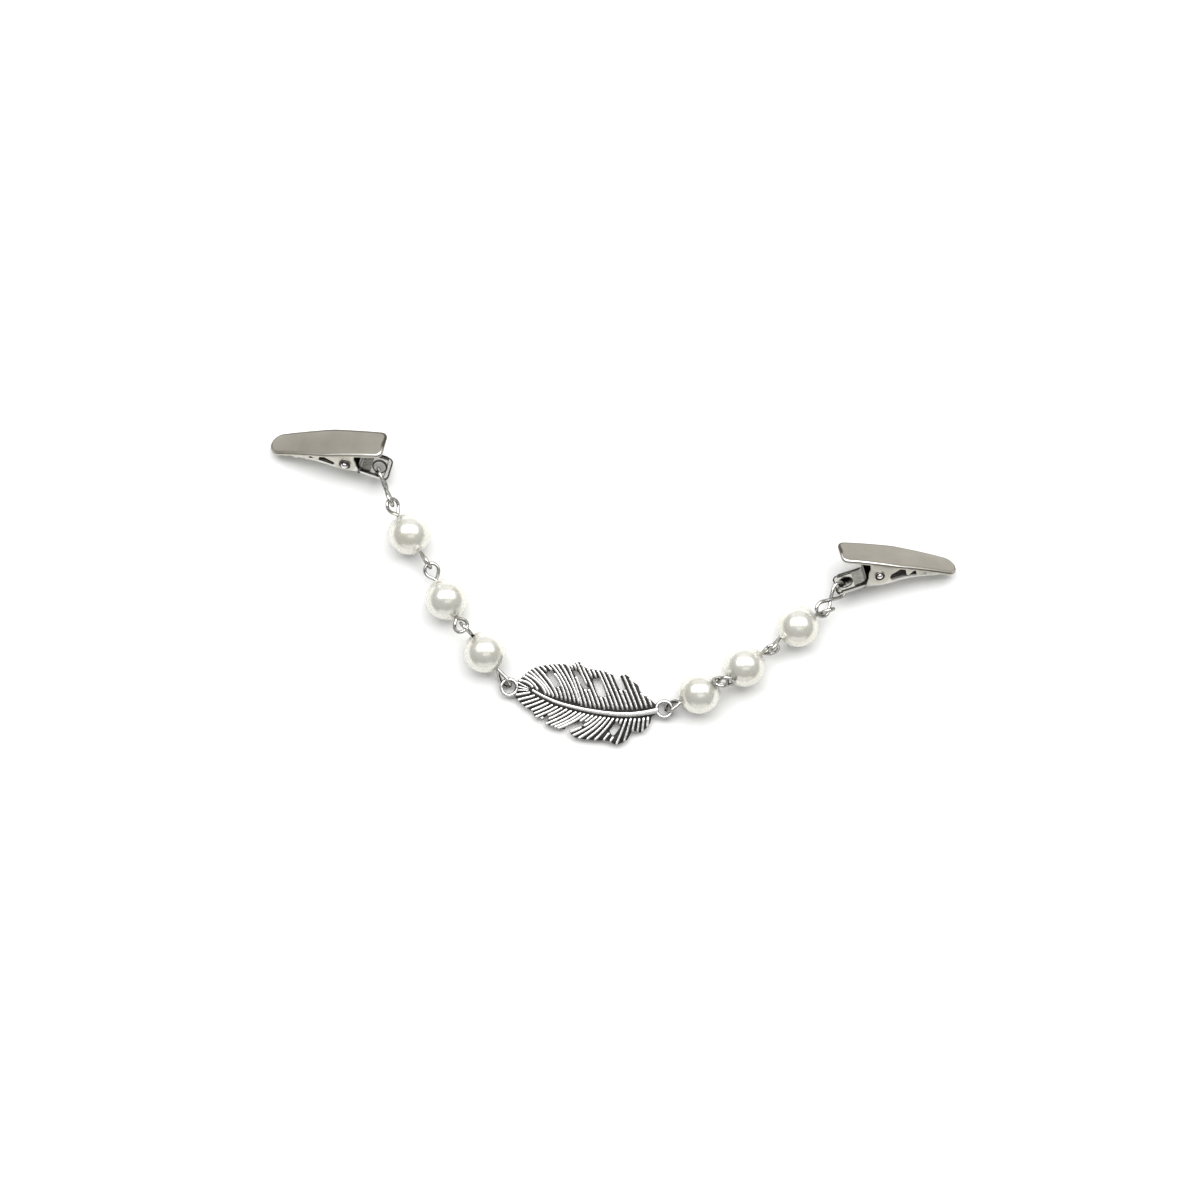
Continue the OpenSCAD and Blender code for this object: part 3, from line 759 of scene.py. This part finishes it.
RING_R = 1.85
RING_HOLE = 1.15
RING_TURNS = 48
ring_mid = (RING_R + RING_HOLE) / 2
ring_half = (RING_R - RING_HOLE) / 2
ring_high = (PLATE_T + RELIEF) / 2
ring_profile = []
for i in range(16):
    a = 2 * math.pi * i / 16
    high, wide = (math.copysign(abs(v) ** 0.7, v) for v in (math.sin(a), math.cos(a)))
    ring_profile.append((ring_high * high, ring_mid + ring_half * wide))
shells = [barbs, quill]
for at in (0, CHARM_SPAN):
    verts, faces = revolved(ring_profile, RING_TURNS)
    lie = charm_place @ Matrix.Translation((at, 0, ring_high)) @ turned(0, 90)
    shells.append(new_piece(f"ring_{at:.0f}", [lie @ v for v in verts], faces, antique_silver))

charm_mesh.materials.clear()
for material in (antique_silver, oxide_black, rubbed_rim):
    charm_mesh.materials.append(material)
joined = bmesh.new()
joined.from_mesh(charm_mesh)
for face in joined.faces:
    on_top = face.calc_center_median().z > (CHARM_Z + PLATE_T - 0.02) * MM
    face.material_index = 1 if on_top and face.normal.z > 0.9 else 2
for shell in shells:
    joined.from_mesh(shell.data)
    bpy.data.objects.remove(shell)
joined.to_mesh(charm_mesh)
joined.free()
charm_mesh.shade_smooth()
charm_mesh.set_sharp_from_angle(angle=math.radians(60))
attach(charm, "chain")
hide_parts("feather_charm")


# Clip covers: the upper lever of each clip, pressed from sheet steel and nickel plated to a satin
# grey. Its edge rolls over into a toothed lip, and an ear on each side takes the rivet.
COVER_L = 23.8
COVER_W = 6.2
NOSE_R = 2.3
CROWN_H = 3.0
LIP = 0.75
SHEET = 0.4
TOOTH_PITCH = 2.2
PIVOT_BACK = 8.2
NOSE_X = COVER_L - PIVOT_BACK
WIDE_X = 3
REAR_W = COVER_W - 0.6
REAR_CORNER = 1.2
CROWN_X = 3.8
CROWN_R = 110
TOOTH_COUNT = 5
TOOTH_START = 1.4
EAR_R = 2.1
ROLL = 0.5
NEST = SHEET + 0.1
TAIL_SLOPE = 34
TAIL_X = -1.3
TAIL_Z = -3.4
TAIL_HOLE_U = 3.6
# Underside of the jaw from the root of its tail forward, as x and height.
JAW_FLOOR = [(TAIL_X, TAIL_Z), (0, -3), (1.5, -2.5), (3.2, -1.6), (4.6, -0.8), (6.5, 0),
             (8.3, 0.5), (11, 1.1)]


def crown(x):
    """Height of the cover's arched top at x."""
    return CROWN_H - (x - CROWN_X) ** 2 / (2 * CROWN_R)


JAW_FLOOR.append((NOSE_X - 2.45, crown(NOSE_X - 2.45) - SHEET - NEST))
JAW_FLOOR.append((NOSE_X + 1, crown(NOSE_X) - SHEET - NEST))
TAIL_BACK = turned(180, -TAIL_SLOPE) @ Vector((1, 0, 0))
TAIL_UP = turned(180, 90 - TAIL_SLOPE) @ Vector((1, 0, 0))


def tail_point(u, w):
    """Point of the tail, u along it from its root and w above its underside."""
    return Vector((TAIL_X, 0, TAIL_Z)) + u * TAIL_BACK + w * TAIL_UP


def at_clip(yaw, pitch, roll, hole_at):
    """Matrix from a clip's own frame, about its rivet, to where the clip lies."""
    return (Matrix.Translation(hole_at) @ turned(yaw, -pitch, roll)
            @ Matrix.Translation(-tail_point(TAIL_HOLE_U, SHEET / 2)))


CLIPS = [
    ("left", at_clip(179, 22.3, 33, LEFT_HOLE_AT)),
    ("right", at_clip(-7.5, 18.2, -50.5, RIGHT_HOLE_AT))]
TEETH = [NOSE_X - TOOTH_START - i * TOOTH_PITCH for i in range(TOOTH_COUNT)]


def arc(x, y, radius, start, end, count):
    """Points of an arc in plan about (x, y), from one heading to another."""
    return [(x + radius * math.cos(a), y + radius * math.sin(a))
            for a in np.radians(np.linspace(start, end, count))]


def plan_half():
    """The cover's outline in plan from the middle of its rear edge round one side to the nose."""
    rear, half = REAR_W / 2, COVER_W / 2
    nose_mid, turn_x = NOSE_X - NOSE_R, REAR_CORNER - PIVOT_BACK
    taper = math.atan((half - NOSE_R) / (nose_mid - WIDE_X))
    points = [(-PIVOT_BACK, y) for y in np.linspace(0, rear - REAR_CORNER, 5)]
    points += arc(turn_x, rear - REAR_CORNER, REAR_CORNER, 180, 90, 7)[1:]
    touch = (nose_mid + NOSE_R * math.sin(taper), NOSE_R * math.cos(taper))
    teeth = [x + d for x in TEETH for d in (-0.9, -0.2, 0.2, 0.9)]
    ear = [-2.6, -2.12, -2.1, -1.9, -1.5, -1.0, -0.5, 0, 0.5, 1.0, 1.5, 1.9, 2.1, 2.12, 2.7, 3.4]
    between = [x for x in np.arange(-6.6, touch[0], 0.45)
               if all(abs(x - k) > 0.2 for k in teeth + ear)]
    for x in sorted(x for x in teeth + ear + between if turn_x < x < touch[0] - 0.05):
        points.append((x, along([(turn_x, rear), (WIDE_X, half), touch], x)))
    points += arc(nose_mid, 0, NOSE_R, 90 - math.degrees(taper), 0, 12)
    return [(float(x), float(y)) for x, y in points]


def lip_edge(x):
    """Height of the lip's cut edge at x, without teeth."""
    return crown(x) - LIP


def side_edge(x):
    """Lowest height of the cover's side at x: lip, teeth that grow toward the rivet, and ear."""
    corners = [(-PIVOT_BACK - 1, lip_edge(-PIVOT_BACK)), (-2.6, lip_edge(-2.6)), (-2, 0.6), (0, -1),
               (2, 0.6), (2.7, 1.4), (3.4, lip_edge(3.4))]
    for at in reversed(TEETH):
        lip = lip_edge(at)
        tip = max(lip - 1.2, min(lip - 0.1, along(JAW_FLOOR, at) + 0.45))
        corners += [(at - 0.9, lip), (at - 0.2, tip), (at + 0.2, tip), (at + 0.9, lip)]
    corners.append((NOSE_X + 1, lip_edge(NOSE_X)))
    z = along(corners, x)
    if abs(x) < EAR_R + 0.001:
        z = min(z, -math.sqrt(max(0.0, EAR_R ** 2 - x * x)))
    return z


satin_nickel, tree, shader = new_material("satin_nickel")
haze = noise(tree, 210, detail=6.0, rough=0.62)
painted_light_tone = tree.nodes.new("ShaderNodeAttribute")
painted_light_tone.attribute_name = "painted_light_tone"
# Colours of the painted light and shade: near black line, grey roof, pale lit wall.
PLATING_AND_PAINTED_LIGHT = [(0, (0.09, 0.083, 0.07)), (0.5, (0.37, 0.345, 0.30)), (1, (0.60, 0.575, 0.515))]
plating_with_painted_light = tree.nodes.new("ShaderNodeMix")
plating_with_painted_light.data_type = "RGBA"
plating_with_painted_light.blend_type = "MULTIPLY"
plating_with_painted_light.inputs["Factor"].default_value = 1.0
tree.links.new(ramp(tree, painted_light_tone.outputs["Fac"], PLATING_AND_PAINTED_LIGHT), plating_with_painted_light.inputs["A"])
tree.links.new(
    ramp(tree, haze, [(0.3, (0.84, 0.835, 0.82)), (0.7, (1, 1, 1))]), plating_with_painted_light.inputs["B"])
painted_highlight = tree.nodes.new("ShaderNodeAttribute")
painted_highlight.attribute_name = "painted_highlight"
highlighted = tree.nodes.new("ShaderNodeMix")
highlighted.data_type = "RGBA"
# Near white of the painted highlight along the near lip.
highlighted.inputs["B"].default_value = (0.93, 0.92, 0.89, 1)
tree.links.new(painted_highlight.outputs["Fac"], highlighted.inputs["Factor"])
tree.links.new(plating_with_painted_light.outputs["Result"], highlighted.inputs["A"])
finish(tree, shader, 0.85, highlighted.outputs["Result"],
       spread(tree, noise(tree, 2400, detail=5.0), 0.3, 0.42),
       noise(tree, 5200, detail=5.0, rough=0.7), 0.012, 0.4)
# Faces inside the sheet, and the jaw's faces under the cover, painted near black as shade.
shaded_inside, tree, shader = new_material("shaded_inside")
INSIDE_SHADE = [(0.3, (0.035, 0.03, 0.026)), (0.7, (0.09, 0.082, 0.072))]
finish(tree, shader, 0.8, ramp(tree, noise(tree, 500, detail=4.0), INSIDE_SHADE), 0.5,
       noise(tree, 2500, detail=4.0), 0.02, 0.5)


def wall_in(piece, thickness, bevel):
    """Gives a skin its sheet thickness inward, shade painted inside, and rounds its cut edges."""
    piece.data.materials.append(shaded_inside)
    solid = piece.modifiers.new("sheet", "SOLIDIFY")
    solid.material_offset = 1
    solid.thickness = thickness * MM
    solid.offset = -1
    solid.use_even_offset = True
    rounded_edges(piece, "cut_edge", bevel, 40)
    mesh = applied(piece)
    piece.modifiers.clear()
    piece.data = mesh
    mesh.shade_smooth()
    mesh.set_sharp_from_angle(angle=math.radians(50))


half_plan = plan_half()
CUT_EDGE = 0.05
ROOF_ROWS = (0.0, 0.3, 0.6, 0.82, 0.95, 1.0)
ROLL_STEPS = (15, 32, 50, 68, 90)
WALL_ROWS = (0.12, 0.3, 0.6, 1.0)
# Painted light and shade of the plating down a column: 0.5 grey on the roof, 0 a dark line of
# painted shade along the roll, 1 a wall painted pale as lit. On the far side from the chain the
# dark line starts higher up.
NEAR_PAINTED_LIGHT = [0.5] * 6 + [0.4, 0.8, 0.9, 0.1, 0.5, 0.9] + [1.0] * 3
FAR_PAINTED_LIGHT = [0.5] * 5 + [0.35, 0.1, 0.0, 0.0, 0.0, 0.2, 0.6] + [1.0] * 3
# Painted highlight, a near white line down a column on the near side, and how much of it the lip
# keeps by place from the rear to the nose.
NEAR_HIGHLIGHT = [0.0] * 7 + [0.7, 1.0, 0.1] + [0.0] * 5
LIP_HIGHLIGHT = {"left": [(-8.2, 1.0), (-5.5, 0.9), (-3.5, 0.4), (6, 0.25), (12, 0.0)],
             "right": [(-8.2, 1.0), (-2, 0.9), (1, 0.5), (6, 0.25), (11, 0.0)]}
# Grey of each roof: the left one is painted lighter, as lit.
ROOF_PAINTED_LIGHT = {"left": 0.64, "right": 0.46}
ROOF_SAG = 0.10


def cover_column(x, y, side):
    """Points of the cover's skin from its spine over the rolled edge down to the cut edge."""
    spine_x = min(max(x, -PIVOT_BACK + 1.6), NOSE_X - NOSE_R)
    out = Vector((x - spine_x, y))
    length = out.length
    way = out.normalized() if length > 1e-6 else Vector((1, 0))
    points = []
    for f in ROOF_ROWS:
        d = (length - ROLL) * f
        px = spine_x + way.x * d
        points.append(Vector((px, side * way.y * d, crown(px) - ROOF_SAG * (d / 3) ** 2)))
    drop = ROOF_SAG * ((length - ROLL) / 3) ** 2
    for a in ROLL_STEPS:
        t = math.radians(a)
        d = length - ROLL + ROLL * math.sin(t)
        px = spine_x + way.x * d
        z = crown(px) - drop - (ROLL - drop) * (1 - math.cos(t))
        points.append(Vector((px, side * way.y * d, z)))
    low = side_edge(x)
    start = points[-1].z
    for f in WALL_ROWS:
        points.append(Vector((x, side * y, start + (low - start) * f)))
    return points


def cover_skin():
    """Verts and faces of the cover's outer skin, open below."""
    loop = [(x, y, 1) for x, y in half_plan] + [(x, y, -1) for x, y in reversed(half_plan[1:-1])]
    columns = [cover_column(*c) for c in loop]
    verts = [p for column in columns for p in column]
    return verts, grid_faces(len(columns), len(columns[0]), closed=False)


def cleaned(piece):
    """Merges doubled points, makes the faces agree and returns how far they face up."""
    work = bmesh.new()
    work.from_mesh(piece.data)
    bmesh.ops.remove_doubles(work, verts=work.verts, dist=0.004 * MM)
    bmesh.ops.dissolve_degenerate(work, edges=work.edges, dist=0.001 * MM)
    bmesh.ops.recalc_face_normals(work, faces=work.faces)
    up = sum(f.normal.z * f.calc_area() for f in work.faces)
    work.to_mesh(piece.data)
    work.free()
    return up


for side, place in CLIPS:
    verts, faces = cover_skin()
    cover = new_piece(f"pressed_cover_{side}", verts, faces, satin_nickel)
    far = -1 if side == "left" else 1
    for name, near, away in (
            ("painted_light_tone", NEAR_PAINTED_LIGHT, FAR_PAINTED_LIGHT), ("painted_highlight", NEAR_HIGHLIGHT, [0.0] * len(NEAR_HIGHLIGHT))):
        values = []
        for i, v in enumerate(verts):
            row = i % len(near)
            share = min(1.0, max(0.0, (v.y * far + 2.0) / 1.6))
            value = near[row] + (away[row] - near[row]) * share
            if name == "painted_highlight":
                value *= along(LIP_HIGHLIGHT[side], v.x)
            elif value == 0.5:
                value = ROOF_PAINTED_LIGHT[side]
            values.append(value)
        cover.data.attributes.new(name, "FLOAT", "POINT").data.foreach_set("value", values)
    if cleaned(cover) < 0:
        cover.data.flip_normals()
    wall_in(cover, SHEET, CUT_EDGE)
    cover.data.transform(Matrix.Scale(MM, 4) @ place @ Matrix.Scale(1 / MM, 4))
    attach(cover, f"{side}_lever")
    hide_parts(f"{side}_cover")


# Jaws: the lower lever of each clip, pressed from the same sheet and plated bright. It carries
# teeth between the cover's teeth, the rivet's lobes, and a drilled tail that the thumb presses.
bright_nickel, tree, shader = new_material("bright_nickel")
NICKEL = [(0.3, (0.61, 0.60, 0.55)), (0.7, (0.66, 0.65, 0.61))]
finish(tree, shader, 0.92, ramp(tree, noise(tree, 320, detail=5.0), NICKEL),
       spread(tree, noise(tree, 2000, detail=5.0), 0.26, 0.34),
       noise(tree, 4500, detail=5.0, rough=0.7), 0.012, 0.4)
# Tail outline and cut edges, and the rivets' grooves, painted near black as shade.
shaded_edge, tree, shader = new_material("shaded_edge")
SHADED_EDGE = [(0.3, (0.022, 0.02, 0.018)), (0.7, (0.07, 0.065, 0.058))]
finish(tree, shader, 0.9, ramp(tree, noise(tree, 1800, detail=4.0), SHADED_EDGE), 0.42,
       noise(tree, 3800, detail=4.0), 0.02, 0.6)
SHADED_EDGE_W = 0.28
JAW_ROUND = 0.06


def softened_copy(node, name, bevel, materials, finish_of):
    """A copy of a CAD node with rounded edges; finish_of gives the material of each face."""
    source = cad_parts[node]
    work = bmesh.new()
    work.from_mesh(source.data)
    work.transform(source.matrix_world)
    bmesh.ops.remove_doubles(work, verts=work.verts, dist=0.002 * MM)
    bmesh.ops.dissolve_limit(
        work, angle_limit=math.radians(1.5), verts=work.verts, edges=work.edges)
    for face in work.faces:
        face.material_index = finish_of(face)
    flats = [f for f in work.faces if f.material_index == len(materials)]
    facing = flats[0].normal.copy()
    for way in (1, -1):
        flat = [f for f in flats if f.normal.dot(facing) * way > 0]
        border = bmesh.ops.inset_region(
            work, faces=flat, thickness=SHADED_EDGE_W * MM, use_even_offset=True, use_boundary=True)
        for face in border["faces"]:
            face.material_index = finish_of(face, border=True)
    for face in flats:
        face.material_index = 0
    sharp = [e for e in work.edges
             if len(e.link_faces) == 2 and e.calc_face_angle(0) > math.radians(50)]
    bmesh.ops.bevel(work, geom=sharp, offset=bevel * MM, segments=2, affect="EDGES", profile=0.5,
                    clamp_overlap=True, material=-1)
    mesh = bpy.data.meshes.new(name)
    work.to_mesh(mesh)
    work.free()
    for material in materials:
        mesh.materials.append(material)
    mesh.shade_smooth()
    mesh.set_sharp_from_angle(angle=math.radians(38))
    return linked(name, mesh)


for side, place in CLIPS:
    home = place.inverted()

    def finish_of(face, border=False):
        """0 plated outside, 1 painted shade inside, 2 painted dark outline round the tail, 3 tail
        flats.
        """
        normal = home.to_3x3() @ face.normal
        middle = home @ (face.calc_center_median() / MM)
        if border:
            return 2 if middle.x < TAIL_X - 0.35 else 0
        if middle.x < TAIL_X - 0.2:
            outside = abs(normal.y) > 0.9 and abs(middle.y) > 1.8
            return 3 if abs(normal.dot(TAIL_UP)) > 0.99 else 0 if outside else 2
        inward = normal.y * middle.y < 0 and abs(normal.y) > 0.5
        return 1 if inward or normal.z > 0.4 and middle.z < 1.5 and abs(middle.y) < 1.6 else 0

    jaw = softened_copy(f"{side}_jaw", f"toothed_jaw_{side}", JAW_ROUND,
                        (bright_nickel, shaded_inside, shaded_edge), finish_of)
    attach(jaw, "chain")
    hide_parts(f"{side}_jaw")


# Rivets: a polished steel pin across each clip, with a domed head in a grooved flange on one side
# and a smaller hammered end with a ring groove on the other. The cover turns on it.
polished_steel, tree, shader = new_material("polished_steel")
POLISHED = [(0.3, (0.70, 0.69, 0.67)), (0.6, (0.82, 0.81, 0.79))]
finish(tree, shader, 1.0, ramp(tree, noise(tree, 900), POLISHED),
       spread(tree, noise(tree, 3000), 0.07, 0.16), noise(tree, 3600), 0.01, 0.3)

RIVET_R = 0.55
HEAD_R = 1.15
HEAD_H = 0.75
DOME_R = 0.68
PEEN_R = 0.95
PEEN_H = 0.4
FLANGE_H = 0.24
RIVET_TURNS = 40
SEAT = COVER_W / 2 + 0.05
# Hammered end from its middle outward, as share of PEEN_H and radius, and flange of the head from
# the cover outward, as height and share of HEAD_R.
PEEN_SHAPE = [
    (1, 0.02), (0.97, 0.16), (0.86, 0.32), (0.68, 0.45), (0.4, 0.54), (0.2, 0.58), (0.2, 0.7),
    (0.42, 0.84 * PEEN_R), (0.4, 0.97 * PEEN_R), (0.2, PEEN_R), (0, 0.97 * PEEN_R)]
HEAD_SHAPE = [(0, 0.96), (0.08, 1), (0.2, 0.98), (0.28, 0.9), (0.26, 0.8)]
for side, place in CLIPS:
    profile = [(-SEAT - PEEN_H * high, r) for high, r in PEEN_SHAPE]
    profile += [(x, RIVET_R) for x in (-SEAT, 0, SEAT)]
    profile += [(SEAT + high, HEAD_R * r) for high, r in HEAD_SHAPE]
    profile.append((SEAT + FLANGE_H, DOME_R + 0.06))
    groove = len(profile)
    for t in np.radians(range(0, 90, 9)):
        high = FLANGE_H + (HEAD_H - FLANGE_H) * math.sin(t)
        profile.append((SEAT + high, max(0.02, DOME_R * math.cos(t))))
    verts, faces = revolved(profile[::-1], RIVET_TURNS)
    n = len(profile)
    faces = [f for f in faces if abs(f[0] % n - f[1] % n) == 1]
    faces.append([i * n for i in range(RIVET_TURNS)])
    faces.append([i * n + n - 1 for i in reversed(range(RIVET_TURNS))])
    across = place @ turned(90, 0)
    rivet = new_piece(f"domed_rivet_{side}", [across @ v for v in verts], faces, polished_steel)
    # The groove round the head and the ring groove of the hammered end are painted black as shade.
    rivet.data.materials.append(shaded_edge)
    last = n - groove
    for polygon in rivet.data.polygons:
        places = [v % n for v in polygon.vertices]
        in_groove = last - 1 <= min(places) and max(places) <= last + 4
        in_ring = n - 9 <= min(places) and max(places) <= n - 5
        polygon.material_index = 1 if in_groove or in_ring else 0
    cleaned(rivet)
    rivet.data.set_sharp_from_angle(angle=math.radians(50))
    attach(rivet, "chain")
    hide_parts(f"{side}_rivet")


# Leaf springs: a strip of grey spring steel bent round behind the rivet. One end presses up
# under the cover and the other along the tail.
spring_steel, tree, shader = new_material("spring_steel")
GREYS = [(0.3, (0.24, 0.23, 0.21)), (0.7, (0.34, 0.33, 0.305))]
finish(tree, shader, 1.0, ramp(tree, noise(tree, 600, stretch=(1, 6, 1)), GREYS),
       spread(tree, noise(tree, 2200, stretch=(1, 8, 1)), 0.22, 0.4),
       noise(tree, 3800, stretch=(1, 6, 1)), 0.01, 0.4)

SPRING_T = 0.3
SPRING_W = COVER_W - 2.6
spring_middle = [Vector((x, 0, crown(x) - SHEET - 0.05 - SPRING_T / 2)) for x in (-6.2, -4.4)]
spring_middle += [Vector((-2.1, 0, -1.5)), Vector((-1.75, 0, -2.3))]
spring_middle += [tail_point(u, SHEET + 0.05 + SPRING_T / 2) for u in (0.35, 2.1)]


def strip_points(middle, steps=7, soften=0.42):
    """The strip's middle line with each bend rounded."""
    out = [middle[0]]
    for i in range(1, len(middle) - 1):
        a = middle[i].lerp(middle[i - 1], soften)
        b = middle[i].lerp(middle[i + 1], soften)
        for k in range(steps + 1):
            t = k / steps
            out.append(a.lerp(middle[i], t).lerp(middle[i].lerp(b, t), t))
    return out + [middle[-1]]


half_w, half_t, corner_cut = SPRING_W / 2, SPRING_T / 2, SPRING_T * 0.2
section = []
for a, b in ((1, 1), (-1, 1), (-1, -1), (1, -1)):
    corner = [(a * (half_w - corner_cut), b * half_t), (a * half_w, b * (half_t - corner_cut))]
    section += corner if a != b else corner[::-1]
for side, place in CLIPS:
    line = strip_points(spring_middle)
    verts = []
    for i, p in enumerate(line):
        way = (line[min(i + 1, len(line) - 1)] - line[max(i - 1, 0)]).normalized()
        out = Vector((-way.z, 0, way.x))
        verts += [p + Vector((0, w, 0)) + out * t for w, t in section]
    m = len(section)
    faces = grid_faces(len(line), m, meet=False)
    faces += [tuple(range(m)), tuple((len(line) - 1) * m + j for j in reversed(range(m)))]
    spring = new_piece(f"leaf_spring_{side}", [place @ v for v in verts], faces, spring_steel)
    cleaned(spring)
    spring.data.set_sharp_from_angle(angle=math.radians(40))
    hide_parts(f"{side}_spring")
    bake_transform(spring)
